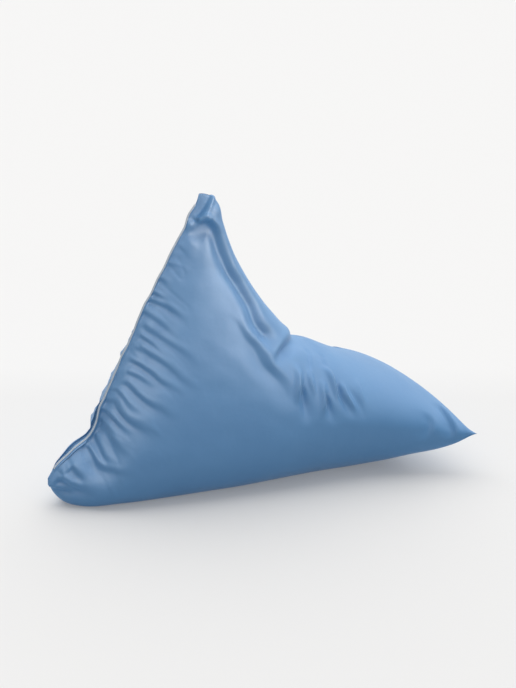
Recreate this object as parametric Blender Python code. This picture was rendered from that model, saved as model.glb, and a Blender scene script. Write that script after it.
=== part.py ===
# Bean bag lounger: a tube of cloth closed by an upright back seam and a level foot seam, filled.
# Metres, +Z up, +X towards the foot, origin at the middle of the footprint on the floor.
import math

import bmesh
import bpy
import numpy as np

# Size of the mesh: rings along the bag, and points in a quarter of a ring.
ROWS = 42
QUARTER = 30
# Distance from the back seam's lower end to the middle of the footprint.
MIDDLE_X = 0.6617

# The tape along the back seam, and how many mesh points it stays clear of each end of the seam.
TAPE_WIDTH = 0.012
TAPE_THICKNESS = 0.0026
TAPE_GAP = 0.0003
TAPE_START = 2
TAPE_END = 2

# Stations along the bag, from the back seam (0) to the foot seam (1), with the back seam's lower
# end at X = 0. Each gives the section's lowest and highest point, its half width and how much
# narrower its top is than its middle.
STATIONS = (
    # place, low x, low z, high x, high z, half width, taper
    (0.00, 0.000, 0.098, 0.548, 0.956, 0.000, 0.40),
    (0.04, 0.006, 0.066, 0.583, 0.953, 0.040, 0.42),
    (0.08, 0.028, 0.028, 0.612, 0.920, 0.076, 0.46),
    (0.14, 0.085, -0.012, 0.629, 0.855, 0.124, 0.48),
    (0.22, 0.195, -0.022, 0.657, 0.765, 0.168, 0.40),
    (0.32, 0.330, -0.025, 0.715, 0.652, 0.208, 0.29),
    (0.42, 0.470, -0.025, 0.792, 0.540, 0.242, 0.20),
    (0.50, 0.580, -0.025, 0.874, 0.452, 0.268, 0.12),
    (0.58, 0.700, -0.025, 0.955, 0.391, 0.288, 0.05),
    (0.68, 0.850, -0.025, 1.050, 0.334, 0.306, 0.00),
    (0.78, 1.000, -0.020, 1.155, 0.300, 0.336, 0.00),
    (0.88, 1.130, 0.002, 1.258, 0.260, 0.390, 0.00),
    (0.95, 1.240, 0.062, 1.321, 0.217, 0.448, 0.00),
    (1.00, 1.320, 0.162, 1.320, 0.162, 0.476, 0.00),
)

# How far the back seam bows forward of a straight line, by its share of the way up.
SEAM_BOW = (
    (0.00, 0.000),
    (0.08, 0.018),
    (0.17, 0.064),
    (0.31, 0.042),
    (0.42, 0.034),
    (0.64, 0.018),
    (0.83, 0.008),
    (0.94, 0.006),
    (1.00, 0.000),
)

# Folds as seen from the side: path in X and Z, half width, depth (a negative depth is a ridge)
# and the side it is on: -1 near, 1 far, 0 both.
FOLDS = (
    ("peak facet", ((0.575, 0.935), (0.512, 0.880)), 0.014, 0.012, 0),
    ("peak ridge", ((0.600, 0.925), (0.522, 0.853)), 0.009, -0.008, 0),
    ("peak left arm", ((0.556, 0.868), (0.478, 0.812)), 0.013, 0.014, 0),
    ("peak right arm", ((0.556, 0.868), (0.600, 0.800), (0.640, 0.700)), 0.018, 0.020, 0),
    ("front valley", ((0.640, 0.700), (0.700, 0.565), (0.765, 0.455)), 0.024, 0.018, 0),
    ("front roll", ((0.640, 0.790), (0.690, 0.670), (0.775, 0.545)), 0.022, -0.008, 0),
    ("waist crease", ((0.870, 0.448), (0.800, 0.455), (0.725, 0.425)), 0.016, 0.022, 0),
    ("second valley", ((0.600, 0.530), (0.690, 0.420), (0.765, 0.315)), 0.026, 0.014, 0),
    ("hip fold a", ((0.860, 0.430), (0.815, 0.350), (0.790, 0.270)), 0.016, 0.013, 0),
    ("hip fold b", ((0.885, 0.410), (0.865, 0.345), (0.860, 0.280)), 0.014, 0.010, 0),
    ("hip fold c", ((0.915, 0.395), (0.935, 0.340), (0.955, 0.285)), 0.014, 0.008, 0),
    ("foot crease a", ((1.245, 0.230), (1.255, 0.130)), 0.014, 0.008, 0),
    ("foot crease b", ((1.170, 0.190), (1.185, 0.115)), 0.016, 0.006, 0),
)

# Gathers that start at the back seam: start and end in X and Z, half width and depth.
GATHERS = (
    ((0.420, 0.735), (0.462, 0.712), 0.012, 0.006),
    ((0.395, 0.690), (0.425, 0.665), 0.012, 0.007),
    ((0.375, 0.655), (0.425, 0.620), 0.013, 0.010),
    ((0.355, 0.618), (0.450, 0.560), 0.015, 0.013),
    ((0.335, 0.575), (0.400, 0.515), 0.014, 0.011),
    ((0.312, 0.530), (0.420, 0.455), 0.016, 0.013),
    ((0.290, 0.485), (0.350, 0.430), 0.014, 0.011),
    ((0.268, 0.440), (0.375, 0.355), 0.016, 0.014),
    ((0.245, 0.400), (0.310, 0.340), 0.014, 0.012),
    ((0.222, 0.360), (0.350, 0.275), 0.017, 0.016),
    ((0.200, 0.310), (0.270, 0.250), 0.015, 0.013),
    ((0.180, 0.262), (0.265, 0.195), 0.016, 0.014),
    ((0.160, 0.210), (0.215, 0.165), 0.015, 0.016),
    ((0.120, 0.190), (0.200, 0.120), 0.016, 0.015),
    ((0.085, 0.165), (0.125, 0.110), 0.014, 0.010),
    ((0.045, 0.125), (0.095, 0.085), 0.014, 0.008),
)

# Puffs of cloth beside the kink of the back seam, on the far side: centre X and Z, size, height.
PUFFS = (
    (0.130, 0.250, 0.040, 0.022),
    (0.085, 0.210, 0.045, 0.050),
)

# How much lower the gathers are on the far side than on the near side.
FAR_GATHER_DROP = 0.022
# Folds are widened by this much, to suit the size of the mesh.
FOLD_SPREAD = 1.3
# Share of a fold's depth that is left where the cloth faces straight up or forward.
FRONT_SHARE = 0.25
# Above this height the bag is so thin that folds may only use part of its half width.
PEAK_HEIGHT = 0.82
PEAK_ROOM = 0.45
# How far along the bag the bow of the back seam fades out.
BOW_REACH = 0.12
# Half width of the flat strip along the back seam that carries the tape.
SEAM_STRIP = 0.0068
# Height over which the underside turns up from the floor.
FLOOR_SOFTNESS = 0.012
# Rings are closer together towards the back seam.
RING_CROWDING = 1.3


def through(x, table, column):
    """A smooth curve through one column of a table, read at x."""
    xs = np.array([row[0] for row in table], float)
    ys = np.array([row[column] for row in table], float)
    steps = np.diff(xs)
    grades = np.diff(ys) / steps
    slopes = np.empty_like(ys)
    slopes[0] = grades[0]
    slopes[-1] = grades[-1]
    slopes[1:-1] = (grades[:-1] * steps[1:] + grades[1:] * steps[:-1]) / (steps[1:] + steps[:-1])
    i = np.clip(np.searchsorted(xs, x, side="right") - 1, 0, len(steps) - 1)
    t = (x - xs[i]) / steps[i]
    start = (1 + 2 * t) * (1 - t) ** 2 * ys[i] + t * (1 - t) ** 2 * steps[i] * slopes[i]
    end = t * t * (3 - 2 * t) * ys[i + 1] + t * t * (t - 1) * steps[i] * slopes[i + 1]
    return start + end


def quarter_arc(half_width, half_height, power, count):
    """A quarter of a rounded box, from its side to its top, in even steps."""
    angle = np.linspace(0, math.pi / 2, 400)
    side = half_width * np.cos(angle) ** (2 / power)
    rise = half_height * np.sin(angle) ** (2 / power)
    run = np.concatenate([[0], np.cumsum(np.hypot(np.diff(side), np.diff(rise)))])
    even = np.linspace(0, run[-1], count + 1)
    return np.interp(even, run, side), np.interp(even, run, rise)


def section(place, quarter):
    """One ring of the bag: near side, top, far side, bottom."""
    low_x, low_z, high_x, high_z, width, taper = (float(through(place, STATIONS, k)) for k in range(1, 7))
    width = max(width, SEAM_STRIP)
    chord = np.array([high_x - low_x, high_z - low_z])
    height = max(float(np.hypot(*chord)), 1e-6)
    ahead = np.array([chord[1], -chord[0]]) / height
    top_side, top_rise = quarter_arc(width, height / 2, 2.1 + 0.5 * place, quarter)
    low_side, low_rise = quarter_arc(width, height / 2, 2.35, quarter)
    side = np.concatenate([-top_side, top_side[::-1][1:], low_side[1:], -low_side[::-1][1:-1]])
    rise = np.concatenate([top_rise, top_rise[::-1][1:], -low_rise[1:], -low_rise[::-1][1:-1]])
    share = 0.5 + rise / height
    if place > 0:
        side = side * (1 - taper * (2 * share - 1))
    bow = through(np.clip(share, 0, 1), SEAM_BOW, 1) * math.exp(-(place / BOW_REACH) ** 2)
    x = low_x + share * chord[0] + bow * ahead[0]
    z = low_z + share * chord[1] + bow * ahead[1]
    return np.stack([x, side, z], 1)


def path_distance(x, z, path):
    """Distance in the side view from each point to a bent line."""
    nearest = np.full(x.shape, np.inf)
    for (x0, z0), (x1, z1) in zip(path[:-1], path[1:]):
        dx, dz = x1 - x0, z1 - z0
        t = np.clip(((x - x0) * dx + (z - z0) * dz) / (dx * dx + dz * dz), 0, 1)
        nearest = np.minimum(nearest, np.hypot(x - x0 - t * dx, z - z0 - t * dz))
    return nearest


def groove(distance, half_width):
    """A valley one deep with low shoulders beside it."""
    shoulder = np.exp(-((distance - 1.9 * half_width) / half_width) ** 2)
    return np.exp(-(distance / half_width) ** 2) - 0.4 * shoulder


def fold_depth(x, z, side):
    """How deep the folds cut in at each point of one side."""
    depth = np.zeros(x.shape)
    for name, path, half_width, deep, where in FOLDS:
        if where in (0, side):
            depth += deep * groove(path_distance(x, z, path), half_width * FOLD_SPREAD)
    drop = FAR_GATHER_DROP if side > 0 else 0.0
    for start, end, half_width, deep in GATHERS:
        path = ((start[0], start[1] - drop), (end[0], end[1] - drop))
        depth += deep * groove(path_distance(x, z, path), half_width * FOLD_SPREAD)
    if side > 0:
        for px, pz, size, high in PUFFS:
            depth -= high * np.exp(-((x - px) ** 2 + (z - pz) ** 2) / size ** 2)
    return depth


def outward(grid):
    """Unit normals of the closed grid of rings, pointing out of the bag."""
    along = np.gradient(grid, axis=0)
    around = np.roll(grid, -1, axis=1) - np.roll(grid, 1, axis=1)
    normal = np.cross(along, around)
    normal /= np.linalg.norm(normal, axis=2, keepdims=True) + 1e-12
    middle = grid.mean(axis=(0, 1))
    if (normal * (grid - middle)).sum() < 0:
        normal = -normal
    return normal


def settle(z):
    """Flattens what would sink into the floor to exactly zero, with a soft turn up from it."""
    turn = (z + FLOOR_SOFTNESS) ** 2 / (4 * FLOOR_SOFTNESS)
    return np.where(z > FLOOR_SOFTNESS, z, np.where(z < -FLOOR_SOFTNESS, 0.0, turn))


def bag_grid(rows, quarter):
    """All rings of the bag, with folds, in an array of ring, point, XYZ."""
    places = np.linspace(0, 1, rows + 1) ** RING_CROWDING
    grid = np.stack([section(place, quarter) for place in places])
    normal = outward(grid)
    x, y, z = grid[..., 0], grid[..., 1], grid[..., 2]
    near = fold_depth(x, z, -1)
    far = fold_depth(x, z, 1)
    flank = np.clip(0.5 - y / 0.02, 0, 1)
    depth = near * flank + far * (1 - flank)
    ease_in = np.clip(places / 0.03, 0, 1)[:, None]
    ease_out = np.clip((1 - places) / 0.04, 0, 1)[:, None]
    calm_floor = np.clip(z / 0.06, 0, 1)
    room = np.where(z > PEAK_HEIGHT, PEAK_ROOM * np.abs(y), 1.0)
    sideways = FRONT_SHARE + (1 - FRONT_SHARE) * np.abs(normal[..., 1])
    push = np.minimum(depth * ease_in * ease_out * calm_floor * sideways, room)
    grid = grid - normal * push[..., None]
    grid[..., 2] = settle(grid[..., 2])
    return grid


def split_at(quad, ears):
    """A quad as it is, or as two triangles from its foot corner, so that the corner is not a fin."""
    for ear in ears:
        if ear in quad:
            k = quad.index(ear)
            a, b, c, d = quad[k:] + quad[:k]
            return [(a, b, c), (a, c, d)]
    return [tuple(quad)]


def body_mesh(grid):
    """Vertices and faces of the closed bag, with its foot seam joined and its back strip closed."""
    rows, ring = grid.shape[0], grid.shape[1]
    quarter = ring // 4
    half = ring // 2
    verts = [tuple(p) for p in grid[:-1].reshape(-1, 3)]
    first_of_seam = len(verts)
    verts += [tuple(grid[-1, j]) for j in range(half + 1)]

    def index(i, j):
        j = j % ring
        if i < rows - 1:
            return i * ring + j
        return first_of_seam + (j if j <= half else ring - j)

    ears = (index(rows - 1, 0), index(rows - 1, half))
    faces = []
    for i in range(rows - 1):
        for j in range(ring):
            quad = [index(i, j), index(i, j + 1), index(i + 1, j + 1), index(i + 1, j)]
            faces.extend(split_at(quad, ears))
    for k in range(half):
        near_low, near_high = index(0, 3 * quarter + k), index(0, 3 * quarter + k + 1)
        far_low, far_high = index(0, 3 * quarter - k), index(0, 3 * quarter - k - 1)
        corners = (near_low, near_high, far_high, far_low)
        faces.append(tuple(dict.fromkeys(corners)))
    return verts, faces


def seam_line(grid):
    """The back seam from its low end to its high end, with the direction straight back from it."""
    quarter = grid.shape[1] // 4
    picks = [(3 * quarter + k) % (4 * quarter) for k in range(2 * quarter + 1)]
    line = grid[0, picks][:, [0, 2]]
    run = np.gradient(line, axis=0)
    run /= np.linalg.norm(run, axis=1, keepdims=True)
    back = np.stack([-run[:, 1], run[:, 0]], 1)
    return line, back


def tape_mesh(grid):
    """A thin rounded band that lies along the back seam, a hair behind the bag."""
    line, back = seam_line(grid)
    line, back = line[TAPE_START:-TAPE_END], back[TAPE_START:-TAPE_END]
    half, deep = TAPE_WIDTH / 2, TAPE_THICKNESS
    outline = ((-half, 0.0), (-half, 0.5 * deep), (-0.75 * half, deep), (0.75 * half, deep),
               (half, 0.5 * deep), (half, 0.0))
    verts = []
    for point, away in zip(line, back):
        for y, lift in outline:
            spot = point + away * (TAPE_GAP + lift)
            verts.append((spot[0], y, spot[1]))
    count = len(outline)
    faces = []
    for i in range(len(line) - 1):
        for j in range(count):
            k = (j + 1) % count
            faces.append((i * count + j, i * count + k, (i + 1) * count + k, (i + 1) * count + j))
    faces.append(tuple(range(count)))
    last = (len(line) - 1) * count
    faces.append(tuple(last + j for j in reversed(range(count))))
    return verts, faces


def material(name, colour, roughness):
    """A plain cloth material."""
    made = bpy.data.materials.new(name)
    made.use_nodes = True
    shader = made.node_tree.nodes["Principled BSDF"]
    shader.inputs["Base Color"].default_value = (*colour, 1.0)
    shader.inputs["Roughness"].default_value = roughness
    made.diffuse_color = (*colour, 1.0)
    return made


def add_object(name, verts, faces, collection, look):
    """A mesh object with outward faces, moved so that the origin is under its middle."""
    mesh = bpy.data.meshes.new(name)
    mesh.from_pydata([(x - MIDDLE_X, y, z) for x, y, z in verts], [], faces)
    mesh.materials.append(look)
    tidy = bmesh.new()
    tidy.from_mesh(mesh)
    bmesh.ops.recalc_face_normals(tidy, faces=tidy.faces)
    bmesh.ops.triangulate(tidy, faces=tidy.faces)
    tidy.to_mesh(mesh)
    tidy.free()
    made = bpy.data.objects.new(name, mesh)
    collection.objects.link(made)
    return made


def clear_scene():
    """Starts from nothing."""
    for old in list(bpy.data.objects):
        bpy.data.objects.remove(old, do_unlink=True)


def main():
    clear_scene()
    collection = bpy.data.collections.new("bean_bag_lounger")
    bpy.context.scene.collection.children.link(collection)
    cloth = material("bag_cloth", (0.17, 0.32, 0.53), 0.5)
    tape = material("seam_tape", (0.42, 0.50, 0.58), 0.6)
    grid = bag_grid(ROWS, QUARTER)
    add_object("bag_body", *body_mesh(grid), collection, cloth)
    add_object("back_seam_tape", *tape_mesh(grid), collection, tape)


main()
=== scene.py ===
# Bean bag lounger: the looks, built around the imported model. Metres, +Z up, +X towards the foot.
import math

import bmesh
import bpy
import numpy as np
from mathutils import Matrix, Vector


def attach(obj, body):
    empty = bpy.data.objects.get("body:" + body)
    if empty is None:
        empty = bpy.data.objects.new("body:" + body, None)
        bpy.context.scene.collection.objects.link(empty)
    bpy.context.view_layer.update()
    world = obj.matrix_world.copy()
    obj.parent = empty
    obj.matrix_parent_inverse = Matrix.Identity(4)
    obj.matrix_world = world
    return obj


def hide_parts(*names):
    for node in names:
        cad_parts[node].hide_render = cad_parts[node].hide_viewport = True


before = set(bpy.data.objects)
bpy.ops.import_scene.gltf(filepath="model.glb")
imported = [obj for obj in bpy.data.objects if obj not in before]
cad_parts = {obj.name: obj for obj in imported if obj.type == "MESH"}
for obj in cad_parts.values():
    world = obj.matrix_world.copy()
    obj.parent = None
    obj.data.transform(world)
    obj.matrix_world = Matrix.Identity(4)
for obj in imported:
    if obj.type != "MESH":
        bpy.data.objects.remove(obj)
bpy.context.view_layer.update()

# Size of the visible mesh: rings along the bag, points in a quarter of a ring, and the samples
# from which the even points of a quarter are taken.
ROWS = 235
QUARTER = 100
ARC_SAMPLES = 400
# Distance from the back seam's lower end to the middle of the footprint.
MIDDLE_X = 0.6617

# The tape along the back seam: its size, the gap under it, and how many points of the seam it
# stops short of at the low and the high end.
TAPE_WIDTH = 0.0080
TAPE_THICKNESS = 0.0022
TAPE_GAP = 0.0004
TAPE_ENDS = (7, 7)
# Its edges stand proud of its middle, which carries this share of the thickness.
TAPE_MIDDLE = 0.5

# Colours of the cloth and the tape, linear.
CLOTH_LIGHT = (0.065, 0.218, 0.445)
CLOTH_DARK = (0.054, 0.197, 0.416)
TAPE_EDGE = (0.60, 0.65, 0.70)
TAPE_CORE = (0.34, 0.44, 0.55)
# The cloth's lowest and highest roughness, its gloss, and its sheen's weight, roughness and tint.
CLOTH_ROUGHNESS = (0.56, 0.66)
CLOTH_SPECULAR = 0.7
SHEEN_WEIGHT = 0.22
SHEEN_ROUGHNESS = 0.45
SHEEN_TINT = (0.80, 0.90, 1.0)
# Scales of its clouding, its uneven gloss and its small creases.
CLOUD_SCALE = 5.0
GLOSS_SCALE = 9.0
CREASE_SCALE = 38.0
# The tape's roughness, its sheen, and where across its half width the core turns into the edge.
TAPE_ROUGHNESS = 0.6
TAPE_SHEEN = 0.15
TAPE_EDGE_SPAN = (0.35, 0.70)
# Strength and height of the bump for the small creases, the weave and the stitches.
CREASE_BUMP = (0.50, 0.0012)
WEAVE_BUMP = (0.25, 0.00012)
STITCH_BUMP = (0.6, 0.0004)
# Spacing of the cloth's threads and of the tape's stitches.
THREAD_SPACING = 0.0016
STITCH_LENGTH = 0.0035

# The ground: its tone near and far, its painted glow that lifts its shadows and takes their blue out,
# how far behind the camera's target it starts to turn paler and over what distance, and how far it
# reaches.
FLOOR_TONE = 0.645
FAR_TONE = 0.677
FLOOR_PAINTED_GLOW = (0.170, 0.166, 0.160)
BACKDROP_START = 0.55
BACKDROP_FADE = 0.32
FLOOR_REACH = 60.0
# The room's light, as the camera, the cloth's gloss and everything else see it.
BACKDROP_TONE = 0.913
GLOSS_AMBIENT = 1.38
AMBIENT = 0.39
# A soft sun overhead that lights the bag alone, and one from further behind for the floor alone.
OVERHEAD_STRENGTH = 2.57
OVERHEAD_SPREAD = 75.0
OVERHEAD_PLACE = (1.4, 0.8, 3.3)
FLOOR_LIGHT_STRENGTH = 2.78
FLOOR_LIGHT_SPREAD = 95.0
FLOOR_LIGHT_PLACE = (0.9, 1.8, 3.3)
SUN_AIM = (0.0, 0.0, 0.35)
# A softbox close above the upper part of the bag, which lights the bag alone.
SOFTBOX_PLACE = (-0.12, -0.95, 1.65)
SOFTBOX_SIZE = 0.7
SOFTBOX_POWER = 0.9
SOFTBOX_AIM = (-0.05, 0.0, 0.60)
SOFTBOX_SPREAD = 120.0
# A second softbox for the satin gloss on the side panel, seen in the bag's gloss alone.
GLOSS_PLACE = (0.72, -1.12, 1.45)
GLOSS_SIZE = 0.8
GLOSS_POWER = 5.8
GLOSS_AIM = (0.02, -0.05, 0.84)
GLOSS_SPREAD = 52.0
# A third, from the left, that picks out the upper flanks of the gathers, also in the gloss alone.
SIDE_PLACE = (-1.30, -0.60, 1.50)
SIDE_SIZE = 0.9
SIDE_POWER = 6.8
SIDE_AIM = (-0.58, -0.10, 0.12)
SIDE_SPREAD = 80.0

# The camera: where it looks, from which side, how high, how far, and its lens and sensor.
CAMERA_TARGET = (0.0953, 0.0, 0.42)
CAMERA_AZIMUTH = -28.0
CAMERA_ELEVATION = 20.0
CAMERA_DISTANCE = 4.5
CAMERA_LENS = 70.64
CAMERA_SENSOR = 36.0

# Stations along the bag, from the back seam (0) to the foot seam (1), with the back seam's lower
# end at X = 0. Each gives the section's lowest and highest point, its half width and how much
# narrower its top is than its middle.
STATIONS = (
    # place, low x, low z, high x, high z, half width, taper
    (0.00, 0.000, 0.098, 0.548, 0.956, 0.000, 0.40),
    (0.04, 0.006, 0.066, 0.583, 0.953, 0.040, 0.42),
    (0.08, 0.028, 0.028, 0.612, 0.920, 0.076, 0.46),
    (0.14, 0.085, -0.012, 0.629, 0.855, 0.124, 0.48),
    (0.22, 0.195, -0.022, 0.657, 0.765, 0.168, 0.40),
    (0.32, 0.330, -0.025, 0.715, 0.652, 0.208, 0.29),
    (0.42, 0.470, -0.025, 0.792, 0.540, 0.242, 0.20),
    (0.50, 0.580, -0.025, 0.877, 0.448, 0.268, 0.12),
    (0.58, 0.700, -0.025, 0.960, 0.402, 0.288, 0.05),
    (0.68, 0.850, -0.025, 1.053, 0.352, 0.306, 0.00),
    (0.78, 1.000, -0.020, 1.157, 0.305, 0.336, 0.00),
    (0.88, 1.130, 0.008, 1.258, 0.260, 0.390, 0.00),
    (0.95, 1.240, 0.062, 1.321, 0.217, 0.448, 0.00),
    (1.00, 1.320, 0.162, 1.320, 0.162, 0.476, 0.00),
)

# How far the back seam bows forward of a straight line, by its share of the way up.
SEAM_BOW = (
    (0.00, 0.000),
    (0.08, 0.018),
    (0.17, 0.064),
    (0.31, 0.042),
    (0.42, 0.034),
    (0.64, 0.018),
    (0.83, 0.008),
    (0.94, 0.006),
    (1.00, 0.000),
)

# Creases as seen from the side: name, path in X and Z, half width at its start and its end, depth
# (a negative depth is a ridge), roll beside it, shares of the path over which it fades in and
# out, and side: -1 near, 0 both. The roll is on the left of the path when positive, on its right
# when negative.
CREASES = (
    ("peak edge", ((0.584, 0.960), (0.562, 0.926), (0.540, 0.895), (0.515, 0.860)),
     (0.010, 0.012), 0.014, 0.6, 0.0, 0.2, 0),
    ("peak lip", ((0.515, 0.866), (0.556, 0.893), (0.592, 0.868), (0.616, 0.815)),
     (0.010, 0.012), -0.010, 0.0, 0.2, 0.4, 0),
    ("peak chevron left", ((0.558, 0.868), (0.531, 0.853), (0.491, 0.813)),
     (0.009, 0.015), 0.014, -0.5, 0.0, 0.5, 0),
    ("front valley", ((0.556, 0.866), (0.588, 0.840), (0.617, 0.741), (0.650, 0.655), (0.692, 0.565),
                      (0.725, 0.505), (0.752, 0.458)),
     (0.012, 0.020), 0.024, 0.15, 0.0, 0.15, 0),
    ("panel ridge", ((0.590, 0.740), (0.608, 0.670), (0.635, 0.595), (0.662, 0.530), (0.700, 0.460),
                     (0.735, 0.415)),
     (0.016, 0.026), -0.008, 0.0, 0.4, 0.3, -1),
    ("waist crease", ((0.930, 0.426), (0.875, 0.440), (0.818, 0.450), (0.765, 0.440), (0.718, 0.422)),
     (0.014, 0.010), 0.028, -0.15, 0.0, 0.3, 0),
    ("second valley", ((0.580, 0.600), (0.624, 0.520), (0.661, 0.469), (0.686, 0.424), (0.712, 0.373),
                       (0.740, 0.325), (0.765, 0.278)),
     (0.011, 0.022), 0.012, 0.5, 0.6, 0.4, 0),
    ("thin crease a", ((0.905, 0.415), (0.870, 0.392), (0.842, 0.370)),
     (0.004, 0.007), 0.007, 0.3, 0.2, 0.4, -1),
    ("thin crease b", ((0.940, 0.392), (0.922, 0.378), (0.914, 0.352)),
     (0.004, 0.007), 0.006, 0.3, 0.2, 0.4, -1),
    ("flame a", ((0.769, 0.290), (0.786, 0.345), (0.806, 0.405)),
     (0.003, 0.018), -0.019, 0.0, 0.5, 0.4, -1),
    ("flame b", ((0.826, 0.285), (0.836, 0.335), (0.850, 0.395)),
     (0.002, 0.013), -0.012, 0.0, 0.5, 0.4, -1),
    ("flame c", ((0.842, 0.230), (0.862, 0.290), (0.885, 0.350)),
     (0.003, 0.014), -0.019, 0.0, 0.5, 0.4, -1),
    ("flame d", ((0.915, 0.272), (0.918, 0.320), (0.915, 0.375)),
     (0.003, 0.013), -0.019, 0.0, 0.5, 0.4, -1),
    ("flame e", ((0.958, 0.235), (0.955, 0.280), (0.955, 0.330)),
     (0.002, 0.010), -0.011, 0.0, 0.5, 0.4, -1),
    ("flame f", ((1.005, 0.240), (1.008, 0.280), (1.015, 0.320)),
     (0.003, 0.014), -0.007, 0.0, 0.5, 0.4, -1),
    ("notch a", ((0.806, 0.362), (0.800, 0.310), (0.800, 0.220)),
     (0.003, 0.020), 0.018, 0.0, 0.3, 0.6, -1),
    ("notch b", ((0.872, 0.335), (0.876, 0.280), (0.880, 0.200)),
     (0.003, 0.018), 0.016, 0.0, 0.3, 0.6, -1),
    ("notch c", ((0.934, 0.340), (0.936, 0.290), (0.940, 0.220)),
     (0.003, 0.015), 0.015, 0.0, 0.3, 0.6, -1),
    ("notch d", ((0.980, 0.310), (0.984, 0.270), (0.988, 0.210)),
     (0.003, 0.014), 0.009, 0.0, 0.3, 0.6, -1),
    ("foot crease a", ((1.280, 0.218), (1.262, 0.185), (1.240, 0.135)),
     (0.006, 0.012), 0.015, 0.6, 0.2, 0.4, 0),
    ("foot crease b", ((1.215, 0.205), (1.190, 0.165), (1.180, 0.120)),
     (0.007, 0.013), 0.009, 0.5, 0.3, 0.5, 0),
    ("heel fold", ((0.020, 0.098), (0.060, 0.068), (0.130, 0.052)),
     (0.010, 0.017), 0.015, 0.5, 0.1, 0.6, -1),
    ("heel notch", ((0.000, 0.062), (0.030, 0.055), (0.060, 0.040)),
     (0.008, 0.014), 0.016, 0.4, 0.0, 0.5, -1),
)

# Gathers that start at the back seam: path in X and Z, half width, depth.
GATHERS = (
    (((0.421, 0.722), (0.440, 0.737), (0.456, 0.728), (0.462, 0.706)), 0.006, 0.004),
    (((0.400, 0.700), (0.418, 0.688), (0.424, 0.672)), 0.006, 0.004),
    (((0.375, 0.655), (0.398, 0.640), (0.415, 0.615)), 0.007, 0.007),
    (((0.362, 0.628), (0.405, 0.610), (0.455, 0.560)), 0.009, 0.009),
    (((0.345, 0.592), (0.385, 0.560), (0.435, 0.505)), 0.009, 0.005),
    (((0.330, 0.560), (0.395, 0.505), (0.480, 0.420)), 0.011, 0.006),
    (((0.315, 0.530), (0.345, 0.505), (0.372, 0.465)), 0.007, 0.007),
    (((0.300, 0.500), (0.365, 0.445), (0.450, 0.360)), 0.011, 0.008),
    (((0.278, 0.458), (0.312, 0.425), (0.345, 0.392), (0.410, 0.352)), 0.009, 0.009),
    (((0.258, 0.418), (0.300, 0.392), (0.345, 0.372)), 0.007, 0.007),
    (((0.245, 0.392), (0.300, 0.335), (0.385, 0.275)), 0.010, 0.009),
    (((0.228, 0.362), (0.252, 0.322), (0.285, 0.292)), 0.008, 0.009),
    (((0.214, 0.335), (0.245, 0.278), (0.318, 0.225)), 0.013, 0.013),
    (((0.196, 0.300), (0.216, 0.255), (0.242, 0.222)), 0.011, 0.013),
    (((0.176, 0.268), (0.190, 0.205), (0.235, 0.165)), 0.013, 0.016),
    (((0.150, 0.225), (0.160, 0.165), (0.190, 0.120)), 0.012, 0.013),
    (((0.118, 0.188), (0.148, 0.128), (0.235, 0.105)), 0.012, 0.015),
    (((0.060, 0.135), (0.085, 0.105), (0.120, 0.085)), 0.012, 0.009),
)

# How wide a gather is at its start and its end, as shares of its half width, its roll, and the
# shares of its path over which it grows out of the seam and dies out.
GATHER_WIDTHS = (0.75, 1.35)
GATHER_ROLL = 0.45
GATHER_START = 0.08
GATHER_END = 0.75

# Small wrinkles between the gathers: their spacing, length and depth, how they slant down from
# the seam, and how far from it they reach at the low and the high end.
WRINKLE_SPACING = 0.026
WRINKLE_LENGTH = 0.110
WRINKLE_DEPTH = 0.0042
WRINKLE_SLANT = 0.45
WRINKLE_REACH = (0.260, 0.060)
# How much they bend, and over what distances away from the seam and along it.
WRINKLE_BEND = 0.35
WRINKLE_BEND_SIZE = (0.05, 0.09)
# A wrinkle lies where the noise is within this much of zero. Then how sharp its bottom is, and how
# high the cloth between wrinkles stands, as a share of their depth.
WRINKLE_BAND = 0.5
WRINKLE_SHARPNESS = 1.3
WRINKLE_LIFT = 0.35
# They grow to full depth over this distance from the seam, and over these from its low and its
# high end. Away from the seam they die out by this power of what is left of their reach.
WRINKLE_START = 0.02
WRINKLE_ENDS = (0.06, 0.12)
WRINKLE_FALL = 1.2
# Puckers where the cloth meets the tape.
PUCKER_SPACING = 0.017
PUCKER_DEPTH = 0.0022
PUCKER_REACH = 0.022
# The cloth swells beside the drawn-up seam: how far from it, how wide, how high near and far, over
# what length it starts at the low end, and what share it loses on the way up.
SEAM_PUFF_PLACE = 0.030
SEAM_PUFF_SIZE = 0.024
SEAM_PUFF_HEIGHT = (0.004, 0.021)
SEAM_PUFF_START = 0.08
SEAM_PUFF_LOSS = 0.8
# Slow dents all over the filled cloth, and fine creasing.
DENT_SIZE = 0.240
DENT_DEPTH = 0.0030
CRINKLE_SIZE = 0.045
CRINKLE_DEPTH = 0.0009
# A crease's section: how much gentler it is on the side without the roll, how flat its bottom is
# (more than 2 is flatter than a bell), and how many half widths out its roll and its last trace are.
FOLD_LEAN = 2.2
FOLD_POWER = 1.8
ROLL_PLACE = 1.8
FOLD_REACH = 6
# How far the paths of creases wander.
WANDER = 0.009
WANDER_SIZE = 0.060

# Local swellings: centre X and Z, size, height, and side: -1 near, 1 far, 0 both.
PUFFS = (
    (0.130, 0.268, 0.060, 0.048, 1),
    (0.085, 0.205, 0.055, 0.036, 1),
    (0.592, 0.895, 0.024, 0.008, 0),
)

# On the far side the gathers are lower by this much, fewer and broader.
FAR_GATHER_DROP = 0.022
FAR_GATHER_WIDTH = 1.6
# Share of a fold's depth that is left where the cloth faces straight up or forward.
FRONT_SHARE = 0.45
# How deep a fold may be along the crest, and how much deeper per metre of half width.
CREST_ROOM = 0.012
FLANK_ROOM = 0.60
# Width across the crest over which the near side's folds change to the far side's.
CREST_BLEND = 0.02
# Folds grow to full depth over these shares of the length from the back seam and the foot seam, and
# over this height above the floor.
FOLD_START = 0.006
FOLD_END = 0.04
FOLD_FLOOR = 0.06
# How far up a section is widest, at the back seam and at the foot seam.
WIDEST_SHARE = (0.50, 0.62)
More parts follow.
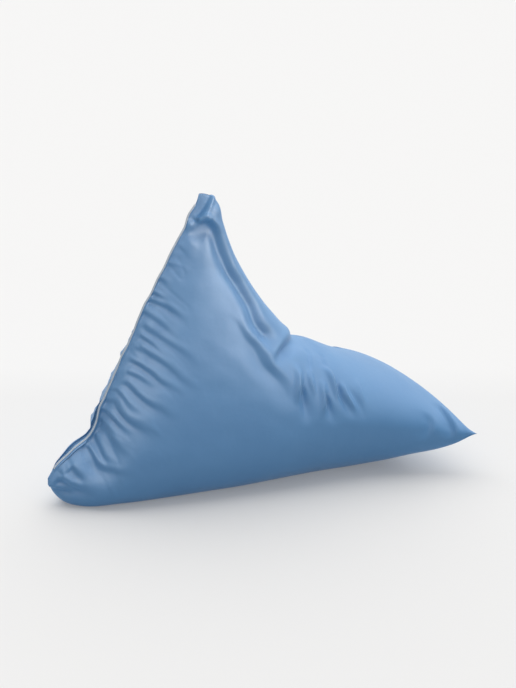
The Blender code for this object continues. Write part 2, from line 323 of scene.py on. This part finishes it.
# How full a section is above and below that: 2 is an ellipse, more is boxier. Above, at the back
# seam and at the foot seam.
TOP_ROUNDNESS = (2.1, 1.95)
BASE_ROUNDNESS = 2.45
# How far cloth may swell out at the seam, where the bag has no width.
SWELL_ROOM = 0.010
# How far along the bag the bow of the back seam fades out.
BOW_REACH = 0.12
# How far the drawn-up back seam wavers, over what length, and how far along the bag this fades out.
SEAM_WAVE = 0.0045
SEAM_WAVE_SIZE = 0.045
SEAM_WAVE_REACH = 0.02
# Half width of the flat strip along the back seam that carries the tape.
SEAM_STRIP = 0.0068
# Height over which the underside turns up from the floor.
FLOOR_SOFTNESS = 0.012
# Rings are closer together towards the back seam.
RING_CROWDING = 1.3
# Where the cloth's map jumps by more than this within a face, the face spans the map's edge.
MAP_JUMP = 1.0
# Random values for the noise, always the same.
NOISE_TABLE = np.random.default_rng(11).random((10, 64, 64))


def through(x, table, column):
    """A smooth curve through one column of a table, read at x."""
    xs = np.array([row[0] for row in table], float)
    ys = np.array([row[column] for row in table], float)
    steps = np.diff(xs)
    grades = np.diff(ys) / steps
    slopes = np.empty_like(ys)
    slopes[0] = grades[0]
    slopes[-1] = grades[-1]
    slopes[1:-1] = (grades[:-1] * steps[1:] + grades[1:] * steps[:-1]) / (steps[1:] + steps[:-1])
    i = np.clip(np.searchsorted(xs, x, side="right") - 1, 0, len(steps) - 1)
    t = (x - xs[i]) / steps[i]
    start = (1 + 2 * t) * (1 - t) ** 2 * ys[i] + t * (1 - t) ** 2 * steps[i] * slopes[i]
    end = t * t * (3 - 2 * t) * ys[i + 1] + t * t * (t - 1) * steps[i] * slopes[i + 1]
    return start + end


def quarter_arc(half_width, half_height, power, count):
    """A quarter of a rounded box, from its side to its top, in even steps."""
    angle = np.linspace(0, math.pi / 2, ARC_SAMPLES)
    side = half_width * np.cos(angle) ** (2 / power)
    rise = half_height * np.sin(angle) ** (2 / power)
    run = np.concatenate([[0], np.cumsum(np.hypot(np.diff(side), np.diff(rise)))])
    even = np.linspace(0, run[-1], count + 1)
    return np.interp(even, run, side), np.interp(even, run, rise)


def section(place, quarter):
    """One ring of the bag: near side, top, far side, bottom."""
    measures = [float(through(place, STATIONS, column)) for column in range(1, 7)]
    low_x, low_z, high_x, high_z, width, taper = measures
    width = max(width, SEAM_STRIP)
    chord = np.array([high_x - low_x, high_z - low_z])
    height = max(float(np.hypot(*chord)), 1e-6)
    ahead = np.array([chord[1], -chord[0]]) / height
    widest = WIDEST_SHARE[0] + (WIDEST_SHARE[1] - WIDEST_SHARE[0]) * place
    roundness = TOP_ROUNDNESS[0] + (TOP_ROUNDNESS[1] - TOP_ROUNDNESS[0]) * place
    top_side, top_rise = quarter_arc(width, height * (1 - widest), roundness, quarter)
    low_side, low_rise = quarter_arc(width, height * widest, BASE_ROUNDNESS, quarter)
    side = np.concatenate([-top_side, top_side[::-1][1:], low_side[1:], -low_side[::-1][1:-1]])
    rise = np.concatenate([top_rise, top_rise[::-1][1:], -low_rise[1:], -low_rise[::-1][1:-1]])
    share = widest + rise / height
    if place > 0:
        side = side * (1 - taper * (2 * share - 1))
    bow = through(np.clip(share, 0, 1), SEAM_BOW, 1) * math.exp(-(place / BOW_REACH) ** 2)
    waver = SEAM_WAVE * noise(share * height / SEAM_WAVE_SIZE, share * 0, 8)
    bow = bow + waver * math.exp(-(place / SEAM_WAVE_REACH) ** 2)
    x = low_x + share * chord[0] + bow * ahead[0]
    z = low_z + share * chord[1] + bow * ahead[1]
    return np.stack([x, side, z], 1)


def smooth_path(points, steps=8):
    """A curve through the given points."""
    points = np.array(points, float)
    padded = np.vstack([2 * points[0] - points[1], points, 2 * points[-1] - points[-2]])
    curve = []
    for a, b, c, d in zip(padded[:-3], padded[1:-2], padded[2:-1], padded[3:]):
        for t in np.arange(steps) / steps:
            curve.append(0.5 * (2 * b + (c - a) * t + (2 * a - 5 * b + 4 * c - d) * t ** 2
                                + (3 * b - a - 3 * c + d) * t ** 3))
    curve.append(points[-1])
    return np.array(curve)


def measure(x, z, curve):
    """Signed distance to a curve, left of it positive, and the distance along it."""
    nearest = np.full(x.shape, np.inf)
    signed = np.zeros(x.shape)
    along = np.zeros(x.shape)
    run = 0.0
    for (x0, z0), (x1, z1) in zip(curve[:-1], curve[1:]):
        dx, dz = x1 - x0, z1 - z0
        length = math.hypot(dx, dz)
        t = np.clip(((x - x0) * dx + (z - z0) * dz) / length ** 2, 0, 1)
        distance = np.hypot(x - x0 - t * dx, z - z0 - t * dz)
        closer = distance < nearest
        nearest = np.where(closer, distance, nearest)
        left = dx * (z - z0) - dz * (x - x0) > 0
        signed = np.where(closer, np.where(left, distance, -distance), signed)
        along = np.where(closer, run + t * length, along)
        run += length
    return signed, along, run


def crease(x, z, path, half_widths, depth, roll, fade_in, fade_out):
    """Depth of one crease: a narrow valley with a roll of cloth beside it, tapered to its ends."""
    curve = smooth_path(path)
    margin = FOLD_REACH * max(half_widths)
    near = ((x > curve[:, 0].min() - margin) & (x < curve[:, 0].max() + margin)
            & (z > curve[:, 1].min() - margin) & (z < curve[:, 1].max() + margin))
    result = np.zeros(x.shape)
    signed, along, length = measure(x[near], z[near], curve)
    share = along / length
    width = half_widths[0] + (half_widths[1] - half_widths[0]) * share
    s = signed / width
    if roll:
        s = s * np.sign(roll)
        s = np.where(s > 0, s, s / FOLD_LEAN)
    valley = np.exp(-np.abs(s) ** FOLD_POWER) - abs(roll) * np.exp(-(s - ROLL_PLACE) ** 2)
    strength = np.ones(share.shape)
    if fade_in:
        strength *= soft_step(share / fade_in)
    if fade_out:
        strength *= soft_step((1 - share) / fade_out)
    result[near] = depth * valley * strength
    return result


def soft_step(t):
    """Zero below 0, one above 1, with an even change between them."""
    t = np.clip(t, 0, 1)
    return t * t * (3 - 2 * t)


def noise(u, v, layer):
    """Smooth noise from -1 to 1, the same on every run."""
    size = NOISE_TABLE.shape[1]
    i, j = np.floor(u).astype(int), np.floor(v).astype(int)
    a, b = soft_step(u - i), soft_step(v - j)
    table = NOISE_TABLE[layer]
    low = table[i % size, j % size] * (1 - a) + table[(i + 1) % size, j % size] * a
    high = table[i % size, (j + 1) % size] * (1 - a) + table[(i + 1) % size, (j + 1) % size] * a
    return 2 * (low * (1 - b) + high * b) - 1


def from_seam(x, z):
    """Distance from the back seam, distance up along it, and its length."""
    seam = section(0.0, 24)
    seam = seam[:, [0, 2]][np.argsort(seam[:, 2])]
    seam = seam[np.concatenate([[True], np.diff(seam[:, 1]) > 1e-4])]
    signed, along, length = measure(x, z, seam)
    return np.abs(signed), along, length


def wrinkles(away, along, length, layer):
    """Depth of the irregular wrinkles that run from the back seam and die out."""
    reach = WRINKLE_REACH[0] + (WRINKLE_REACH[1] - WRINKLE_REACH[0]) * along / length
    fan = along + WRINKLE_SLANT * away
    bend = WRINKLE_BEND * noise(away / WRINKLE_BEND_SIZE[0], along / WRINKLE_BEND_SIZE[1], layer + 2)
    wave = noise(fan / WRINKLE_SPACING + bend, away / WRINKLE_LENGTH, layer)
    valley = np.clip(1 - np.abs(wave) / WRINKLE_BAND, 0, 1) ** WRINKLE_SHARPNESS - WRINKLE_LIFT
    strength = soft_step(away / WRINKLE_START) * np.clip(1 - away / reach, 0, 1) ** WRINKLE_FALL
    strength *= soft_step(along / WRINKLE_ENDS[0]) * soft_step((length - along) / WRINKLE_ENDS[1])
    return WRINKLE_DEPTH * valley * strength


def puckers(away, along, layer):
    """Depth of the small puckers where the cloth meets the tape."""
    pucker = noise(along / PUCKER_SPACING, along * 0, layer + 1) * np.exp(-(away / PUCKER_REACH) ** 2)
    return PUCKER_DEPTH * pucker


def seam_puff(away, along, length, side):
    """Height of the swollen cloth beside the drawn-up seam."""
    puff = np.exp(-((away - SEAM_PUFF_PLACE) / SEAM_PUFF_SIZE) ** 2)
    puff = puff * soft_step(along / SEAM_PUFF_START)
    high = SEAM_PUFF_HEIGHT[0 if side < 0 else 1] * (1 - SEAM_PUFF_LOSS * along / length)
    return high * puff


def fold_depth(x, z, side):
    """How deep the folds cut in at each point of one side."""
    layer = 0 if side < 0 else 4
    drop = FAR_GATHER_DROP if side > 0 else 0.0
    xs = x + WANDER * noise(x / WANDER_SIZE, z / WANDER_SIZE, layer)
    zs = z + WANDER * noise(x / WANDER_SIZE, z / WANDER_SIZE, layer + 1)
    depth = np.zeros(x.shape)
    for name, path, half_widths, deep, roll, fade_in, fade_out, where in CREASES:
        if where in (0, side):
            depth += crease(xs, zs, path, half_widths, deep, roll, fade_in, fade_out)
    gathers = GATHERS if side < 0 else GATHERS[::2]
    broader = 1.0 if side < 0 else FAR_GATHER_WIDTH
    for path, half_width, deep in gathers:
        half_widths = [share * half_width * broader for share in GATHER_WIDTHS]
        depth += crease(xs, zs + drop, path, half_widths, deep, GATHER_ROLL, GATHER_START, GATHER_END)
    away, along, length = from_seam(x, z + drop)
    depth += (wrinkles(away, along, length, layer) + puckers(away, along, layer)
              - seam_puff(away, along, length, side))
    depth += DENT_DEPTH * noise(x / DENT_SIZE, z / DENT_SIZE, layer + 2)
    depth += CRINKLE_DEPTH * noise(x / CRINKLE_SIZE, z / CRINKLE_SIZE, layer + 3)
    for px, pz, size, high, where in PUFFS:
        if where in (0, side):
            depth -= high * np.exp(-((x - px) ** 2 + (z - pz) ** 2) / size ** 2)
    return depth


def outward(grid):
    """Unit normals of the closed grid of rings, pointing out of the bag."""
    along = np.gradient(grid, axis=0)
    around = np.roll(grid, -1, axis=1) - np.roll(grid, 1, axis=1)
    normal = np.cross(along, around)
    normal /= np.linalg.norm(normal, axis=2, keepdims=True) + 1e-12
    middle = grid.mean(axis=(0, 1))
    if (normal * (grid - middle)).sum() < 0:
        normal = -normal
    return normal


def settle(z):
    """Flattens what would sink into the floor to exactly zero, with a soft turn up from it."""
    turn = (z + FLOOR_SOFTNESS) ** 2 / (4 * FLOOR_SOFTNESS)
    return np.where(z > FLOOR_SOFTNESS, z, np.where(z < -FLOOR_SOFTNESS, 0.0, turn))


def bag_grid(rows, quarter):
    """All rings of the bag, with folds, in an array of ring, point, XYZ."""
    places = np.linspace(0, 1, rows + 1) ** RING_CROWDING
    grid = np.stack([section(place, quarter) for place in places])
    normal = outward(grid)
    x, y, z = grid[..., 0], grid[..., 1], grid[..., 2]
    near = fold_depth(x, z, -1)
    far = fold_depth(x, z, 1)
    flank = np.clip(0.5 - y / CREST_BLEND, 0, 1)
    depth = near * flank + far * (1 - flank)
    ease_in = np.clip(places / FOLD_START, 0, 1)[:, None]
    ease_out = np.clip((1 - places) / FOLD_END, 0, 1)[:, None]
    calm_floor = np.clip(z / FOLD_FLOOR, 0, 1)
    room = CREST_ROOM * (1 - np.abs(normal[..., 1])) + FLANK_ROOM * np.abs(y) + 1e-5
    sideways = FRONT_SHARE + (1 - FRONT_SHARE) * np.abs(normal[..., 1])
    push = depth * ease_in * ease_out * calm_floor * sideways
    swell = SWELL_ROOM + np.abs(y)
    push = np.where(push > 0, room * np.tanh(push / room), swell * np.tanh(push / swell))
    grid = grid - normal * push[..., None]
    grid[..., 2] = settle(grid[..., 2])
    return grid


def split_at(quad, ears):
    """A quad as it is, or as two triangles from its foot corner, so that the corner is not a fin."""
    for ear in ears:
        if ear in quad:
            k = quad.index(ear)
            a, b, c, d = quad[k:] + quad[:k]
            return [(a, b, c), (a, c, d)]
    return [tuple(quad)]


def body_mesh(grid):
    """Vertices and faces of the closed bag, with its foot seam joined and its back strip closed."""
    rows, ring = grid.shape[0], grid.shape[1]
    quarter = ring // 4
    half = ring // 2
    verts = [tuple(p) for p in grid[:-1].reshape(-1, 3)]
    first_of_seam = len(verts)
    verts += [tuple(grid[-1, j]) for j in range(half + 1)]

    def index(i, j):
        j = j % ring
        if i < rows - 1:
            return i * ring + j
        return first_of_seam + (j if j <= half else ring - j)

    ears = (index(rows - 1, 0), index(rows - 1, half))
    faces = []
    for i in range(rows - 1):
        for j in range(ring):
            quad = [index(i, j), index(i, j + 1), index(i + 1, j + 1), index(i + 1, j)]
            faces.extend(split_at(quad, ears))
    for k in range(half):
        near_low, near_high = index(0, 3 * quarter + k), index(0, 3 * quarter + k + 1)
        far_low, far_high = index(0, 3 * quarter - k), index(0, 3 * quarter - k - 1)
        corners = (near_low, near_high, far_high, far_low)
        faces.append(tuple(dict.fromkeys(corners)))
    return verts, faces


def seam_line(grid):
    """The back seam from its low end to its high end, with the direction straight back from it."""
    quarter = grid.shape[1] // 4
    picks = [(3 * quarter + k) % (4 * quarter) for k in range(2 * quarter + 1)]
    line = grid[0, picks][:, [0, 2]]
    run = np.gradient(line, axis=0)
    run /= np.linalg.norm(run, axis=1, keepdims=True)
    back = np.stack([-run[:, 1], run[:, 0]], 1)
    return line, back


def band(line, back, outline):
    """A band swept along the seam. The outline gives how far to the side and how far back."""
    verts = []
    for point, away in zip(line, back):
        for y, lift in outline:
            spot = point + away * lift
            verts.append((spot[0], y, spot[1]))
    count = len(outline)
    faces = []
    for i in range(len(line) - 1):
        for j in range(count):
            k = (j + 1) % count
            faces.append((i * count + j, i * count + k, (i + 1) * count + k, (i + 1) * count + j))
    faces.append(tuple(range(count)))
    last = (len(line) - 1) * count
    faces.append(tuple(last + j for j in reversed(range(count))))
    return verts, faces


def add_object(name, verts, faces, look, cloth_map=None):
    """A smooth mesh object with outward faces, moved so that the origin is under its middle."""
    mesh = bpy.data.meshes.new(name)
    mesh.from_pydata([(x - MIDDLE_X, y, z) for x, y, z in verts], [], faces)
    mesh.materials.append(look)
    if cloth_map is not None:
        layer = mesh.uv_layers.new(name="cloth")
        for face in mesh.polygons:
            spots = [cloth_map[v] for v in face.vertices]
            widest = max(s[1] for s in spots)
            for corner, spot in zip(face.loop_indices, spots):
                wrapped = spot[1] if widest - spot[1] < MAP_JUMP else widest
                layer.data[corner].uv = (spot[0], wrapped)
    tidy = bmesh.new()
    tidy.from_mesh(mesh)
    bmesh.ops.recalc_face_normals(tidy, faces=tidy.faces)
    tidy.to_mesh(mesh)
    tidy.free()
    mesh.shade_smooth()
    made = bpy.data.objects.new(name, mesh)
    bpy.context.scene.collection.objects.link(made)
    return made


def body_map(grid):
    """Where each point lies on the flat cloth, in metres along and around the bag."""
    ring = grid.shape[1]
    quarter = ring // 4
    along = np.linalg.norm(np.diff(grid, axis=0), axis=2).mean(axis=1)
    along = np.concatenate([[0], np.cumsum(along)])
    around = np.roll(grid, -quarter, axis=1)
    steps = np.linalg.norm(np.diff(around, axis=1), axis=2)
    run = np.concatenate([np.zeros((grid.shape[0], 1)), np.cumsum(steps, axis=1)], axis=1)
    total = run[:, -1:]
    run = np.where(np.arange(ring)[None, :] > 2 * quarter, run - total, run)
    run = np.roll(run, quarter, axis=1)
    spots = [(along[i], run[i, j]) for i in range(grid.shape[0] - 1) for j in range(ring)]
    spots += [(along[-1], run[-1, j]) for j in range(ring // 2 + 1)]
    return spots


def add_node(tree, kind, **values):
    """A node with its named inputs set."""
    node = tree.nodes.new(kind)
    for name, value in values.items():
        node.inputs[name.replace("_", " ")].default_value = value
    return node


def two_tone(tree, source, low, high, start=0.0, stop=1.0):
    """A colour that goes from one to another as the source rises from start to stop."""
    ramp = tree.nodes.new("ShaderNodeValToRGB")
    ramp.color_ramp.elements[0].position = start
    ramp.color_ramp.elements[0].color = (*low, 1)
    ramp.color_ramp.elements[1].position = stop
    ramp.color_ramp.elements[1].color = (*high, 1)
    tree.links.new(source, ramp.inputs["Fac"])
    return ramp.outputs["Color"]


def weave(tree, place, spacing):
    """Height of a plain weave: two crossing sets of threads."""
    threads = []
    for direction in ("X", "Y"):
        wave = add_node(tree, "ShaderNodeTexWave", Scale=math.pi / 10 / spacing, Distortion=0.6,
                        Detail=1.0)
        wave.bands_direction = direction
        tree.links.new(place, wave.inputs["Vector"])
        threads.append(wave.outputs["Fac"])
    cross = tree.nodes.new("ShaderNodeMath")
    cross.operation = "MAXIMUM"
    tree.links.new(threads[0], cross.inputs[0])
    tree.links.new(threads[1], cross.inputs[1])
    return cross.outputs["Value"]


def add_bump(tree, height, strength_and_height):
    """A bump node for a height, with its strength and its full height in metres."""
    strength, distance = strength_and_height
    bump = add_node(tree, "ShaderNodeBump", Strength=strength, Distance=distance)
    tree.links.new(height, bump.inputs["Height"])
    return bump


def cloth_bump(tree, place):
    """Small creases with the weave on top of them."""
    creases = add_node(tree, "ShaderNodeTexNoise", Scale=CREASE_SCALE, Detail=3.0, Roughness=0.5)
    tree.links.new(place.outputs["Object"], creases.inputs["Vector"])
    soft = add_bump(tree, creases.outputs["Fac"], CREASE_BUMP)
    fine = add_bump(tree, weave(tree, place.outputs["UV"], THREAD_SPACING), WEAVE_BUMP)
    tree.links.new(soft.outputs["Normal"], fine.inputs["Normal"])
    return fine.outputs["Normal"]


def cloth_material():
    """Coated nylon: soft blue, satin, with a fine weave, faint clouding and small creases."""
    made = bpy.data.materials.new("bag_cloth_look")
    made.use_nodes = True
    tree = made.node_tree
    shader = tree.nodes["Principled BSDF"]
    shader.inputs["Specular IOR Level"].default_value = CLOTH_SPECULAR
    shader.inputs["Sheen Weight"].default_value = SHEEN_WEIGHT
    shader.inputs["Sheen Roughness"].default_value = SHEEN_ROUGHNESS
    shader.inputs["Sheen Tint"].default_value = (*SHEEN_TINT, 1)
    place = tree.nodes.new("ShaderNodeTexCoord")
    cloud = add_node(tree, "ShaderNodeTexNoise", Scale=CLOUD_SCALE, Detail=5.0, Roughness=0.55)
    tree.links.new(place.outputs["Object"], cloud.inputs["Vector"])
    colour = two_tone(tree, cloud.outputs["Fac"], CLOTH_DARK, CLOTH_LIGHT, 0.3, 0.7)
    tree.links.new(colour, shader.inputs["Base Color"])
    gloss = add_node(tree, "ShaderNodeTexNoise", Scale=GLOSS_SCALE, Detail=3.0)
    tree.links.new(place.outputs["Object"], gloss.inputs["Vector"])
    spread = add_node(tree, "ShaderNodeMapRange", To_Min=CLOTH_ROUGHNESS[0], To_Max=CLOTH_ROUGHNESS[1])
    tree.links.new(gloss.outputs["Fac"], spread.inputs["Value"])
    tree.links.new(spread.outputs["Result"], shader.inputs["Roughness"])
    tree.links.new(cloth_bump(tree, place), shader.inputs["Normal"])
    return made


def tape_material():
    """Pale grey woven tape with lighter stitched edges."""
    made = bpy.data.materials.new("seam_tape_look")
    made.use_nodes = True
    tree = made.node_tree
    shader = tree.nodes["Principled BSDF"]
    shader.inputs["Roughness"].default_value = TAPE_ROUGHNESS
    shader.inputs["Sheen Weight"].default_value = TAPE_SHEEN
    place = tree.nodes.new("ShaderNodeTexCoord")
    across = tree.nodes.new("ShaderNodeSeparateXYZ")
    tree.links.new(place.outputs["UV"], across.inputs["Vector"])
    edge = add_node(tree, "ShaderNodeMapRange", From_Min=TAPE_EDGE_SPAN[0], From_Max=TAPE_EDGE_SPAN[1])
    tree.links.new(across.outputs["Y"], edge.inputs["Value"])
    colour = two_tone(tree, edge.outputs["Result"], TAPE_CORE, TAPE_EDGE)
    tree.links.new(colour, shader.inputs["Base Color"])
    stitch = add_node(tree, "ShaderNodeTexWave", Scale=math.pi / 10 / STITCH_LENGTH)
    stitch.bands_direction = "X"
    tree.links.new(place.outputs["UV"], stitch.inputs["Vector"])
    bump = add_bump(tree, stitch.outputs["Fac"], STITCH_BUMP)
    tree.links.new(bump.outputs["Normal"], shader.inputs["Normal"])
    return made


def tape_outline():
    """Half of the width and lift of each corner of the tape's section, with raised edges."""
    half, deep, gap = TAPE_WIDTH / 2, TAPE_THICKNESS, TAPE_GAP
    profile = ((-1.0, 0.0), (-1.0, 0.6), (-0.8, 1.0), (-0.5, TAPE_MIDDLE), (0.0, TAPE_MIDDLE),
               (0.5, TAPE_MIDDLE), (0.8, 1.0), (1.0, 0.6), (1.0, 0.0))
    return [(side * half, gap + lift * deep) for side, lift in profile]


def add_tape(grid):
    """The tape along the back seam, with a map of metres along it and its half width across it."""
    covered = slice(TAPE_ENDS[0], -TAPE_ENDS[1])
    line, back = (points[covered] for points in seam_line(grid))
    outline = tape_outline()
    run = np.concatenate([[0], np.cumsum(np.linalg.norm(np.diff(line, axis=0), axis=1))])
    spots = [(far, abs(side) / (TAPE_WIDTH / 2)) for far in run for side, lift in outline]
    return add_object("seam_tape", *band(line, back, outline), tape_material(), spots)


def build_bag():
    """The bag's cover and its tape, each in the place of its CAD node."""
    grid = bag_grid(ROWS, QUARTER)
    bag = add_object("bag_cover", *body_mesh(grid), cloth_material(), body_map(grid))
    tape = add_tape(grid)
    for piece, node, name in ((bag, "bag_body", "bag_cloth"), (tape, "back_seam_tape", "seam_tape")):
        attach(piece, "root")
        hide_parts(node)
    return bag, tape


def view_direction():
    """From the camera's target to the camera."""
    azimuth, elevation = math.radians(CAMERA_AZIMUTH), math.radians(CAMERA_ELEVATION)
    level = math.cos(elevation)
    return Vector((math.sin(azimuth) * level, -math.cos(azimuth) * level, math.sin(elevation)))


def place_camera():
    """The photograph's view."""
    back = view_direction()
    data = bpy.data.cameras.new("camera")
    data.lens = CAMERA_LENS
    data.sensor_width = CAMERA_SENSOR
    camera = bpy.data.objects.new("camera", data)
    camera.location = Vector(CAMERA_TARGET) + back * CAMERA_DISTANCE
    camera.rotation_euler = (-back).to_track_quat("-Z", "Y").to_euler()
    bpy.context.scene.collection.objects.link(camera)
    bpy.context.scene.camera = camera


def add_light(name, kind, location, energy, size, aim=SUN_AIM, spread=None):
    """A lamp that shines from the location towards its aim. The spread is for softboxes."""
    data = bpy.data.lights.new(name, kind)
    data.energy = energy
    if kind == "SUN":
        data.angle = math.radians(size)
    else:
        data.shape = "DISK"
        data.size = size
        data.spread = math.radians(spread)
    lamp = bpy.data.objects.new(name, data)
    lamp.location = location
    lamp.rotation_euler = (Vector(aim) - Vector(location)).to_track_quat("-Z", "Y").to_euler()
    bpy.context.scene.collection.objects.link(lamp)
    return lamp


def light_only(lamps, name, lit_objects):
    """Lets the lamps light these objects alone."""
    lit = bpy.data.collections.new(name)
    for lit_object in lit_objects:
        lit.objects.link(lit_object)
    for lamp in lamps:
        lamp.light_linking.receiver_collection = lit


def studio_world():
    """A pale room whose backdrop and reflections have tones of their own."""
    world = bpy.data.worlds.new("studio")
    world.use_nodes = True
    tree = world.node_tree
    ray = tree.nodes.new("ShaderNodeLightPath")
    seen = tree.nodes.new("ShaderNodeMix")
    seen.inputs[2].default_value = AMBIENT
    seen.inputs[3].default_value = GLOSS_AMBIENT
    tree.links.new(ray.outputs["Is Glossy Ray"], seen.inputs[0])
    backdrop = tree.nodes.new("ShaderNodeMix")
    backdrop.inputs[3].default_value = BACKDROP_TONE
    tree.links.new(ray.outputs["Is Camera Ray"], backdrop.inputs[0])
    tree.links.new(seen.outputs[0], backdrop.inputs[2])
    tree.nodes["Background"].inputs["Color"].default_value = (1, 1, 1, 1)
    tree.links.new(backdrop.outputs[0], tree.nodes["Background"].inputs["Strength"])
    bpy.context.scene.world = world
    bpy.context.scene.view_settings.view_transform = "Standard"


def light_studio(pieces, ground):
    """Two wide soft suns, one for the bag and one for the floor, and softboxes for the bag alone."""
    overhead = add_light("overhead", "SUN", OVERHEAD_PLACE, OVERHEAD_STRENGTH, OVERHEAD_SPREAD)
    shadow = add_light("floor light", "SUN", FLOOR_LIGHT_PLACE, FLOOR_LIGHT_STRENGTH, FLOOR_LIGHT_SPREAD)
    fill = add_light("fill softbox", "AREA", SOFTBOX_PLACE, SOFTBOX_POWER, SOFTBOX_SIZE,
                     SOFTBOX_AIM, SOFTBOX_SPREAD)
    gloss = add_light("gloss softbox", "AREA", GLOSS_PLACE, GLOSS_POWER, GLOSS_SIZE,
                      GLOSS_AIM, GLOSS_SPREAD)
    side = add_light("side softbox", "AREA", SIDE_PLACE, SIDE_POWER, SIDE_SIZE,
                     SIDE_AIM, SIDE_SPREAD)
    light_only((overhead, fill, gloss, side), "lit bag", pieces)
    light_only((shadow,), "lit floor", (ground,))
    gloss.visible_diffuse = False
    side.visible_diffuse = False
    studio_world()


def floor_material():
    """A pale matt ground that turns a little paler behind the bag, as a paper sweep does."""
    made = bpy.data.materials.new("floor_look")
    made.use_nodes = True
    tree = made.node_tree
    shader = tree.nodes["Principled BSDF"]
    shader.inputs["Roughness"].default_value = 0.9
    shader.inputs["Specular IOR Level"].default_value = 0.0
    # The floor glows faintly and warm: painted light that lifts its shadows and cancels their blue cast.
    shader.inputs["Emission Color"].default_value = (*FLOOR_PAINTED_GLOW, 1)
    shader.inputs["Emission Strength"].default_value = 1.0
    place = tree.nodes.new("ShaderNodeTexCoord")
    away = -view_direction()
    flat = Vector((away.x, away.y, 0)).normalized()
    depth = tree.nodes.new("ShaderNodeVectorMath")
    depth.operation = "DOT_PRODUCT"
    depth.inputs[1].default_value = flat
    tree.links.new(place.outputs["Object"], depth.inputs[0])
    start = BACKDROP_START + Vector(CAMERA_TARGET).dot(flat)
    fade = add_node(tree, "ShaderNodeMapRange", From_Min=start, From_Max=start + BACKDROP_FADE)
    tree.links.new(depth.outputs["Value"], fade.inputs["Value"])
    colour = two_tone(tree, fade.outputs["Result"], (FLOOR_TONE,) * 3, (FAR_TONE,) * 3)
    tree.links.new(colour, shader.inputs["Base Color"])
    return made


def add_floor():
    """The pale ground."""
    corners = [(side * FLOOR_REACH, end * FLOOR_REACH, 0)
               for side, end in ((-1, -1), (1, -1), (1, 1), (-1, 1))]
    mesh = bpy.data.meshes.new("floor")
    mesh.from_pydata(corners, [], [(0, 1, 2, 3)])
    mesh.materials.append(floor_material())
    floor = bpy.data.objects.new("floor", mesh)
    bpy.context.scene.collection.objects.link(floor)
    return floor


place_camera()
bag_pieces = build_bag()
light_studio(bag_pieces, add_floor())
